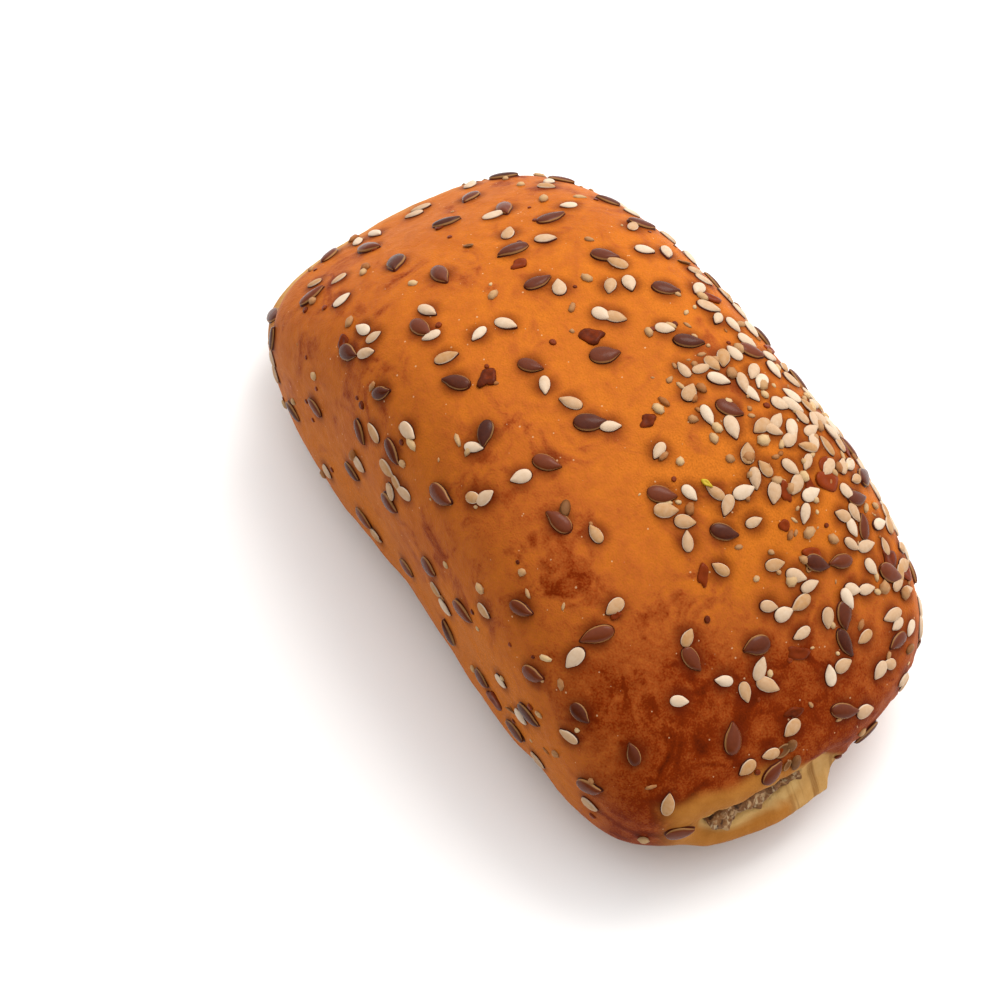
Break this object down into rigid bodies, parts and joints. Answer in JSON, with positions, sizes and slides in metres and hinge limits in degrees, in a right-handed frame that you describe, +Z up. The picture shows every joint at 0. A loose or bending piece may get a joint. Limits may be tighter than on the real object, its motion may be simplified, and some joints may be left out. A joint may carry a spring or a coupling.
{
  "type": "potato and liver filled baked roll",
  "caption": "Baked oblong roll of glazed yeast dough round a potato and liver filling, which shows at both short ends, with flax and sesame seeds on its crust",
  "frame": {"origin": "middle of the roll's bounding box, on the plane it rests on", "axes": "+X along the roll towards the end with the narrow slit, +Y towards the long side with the dense sesame, +Z up"},
  "size_m": [0.1114, 0.0577, 0.0465],
  "materials": {
    "crust": "egg-glazed baked crust, satin, strewn with seeds",
    "filling": "matt crumbly potato and liver mash"
  },
  "bodies": {
    "root": {"dough": "crust", "filling": "filling"}
  },
  "joints": []
}
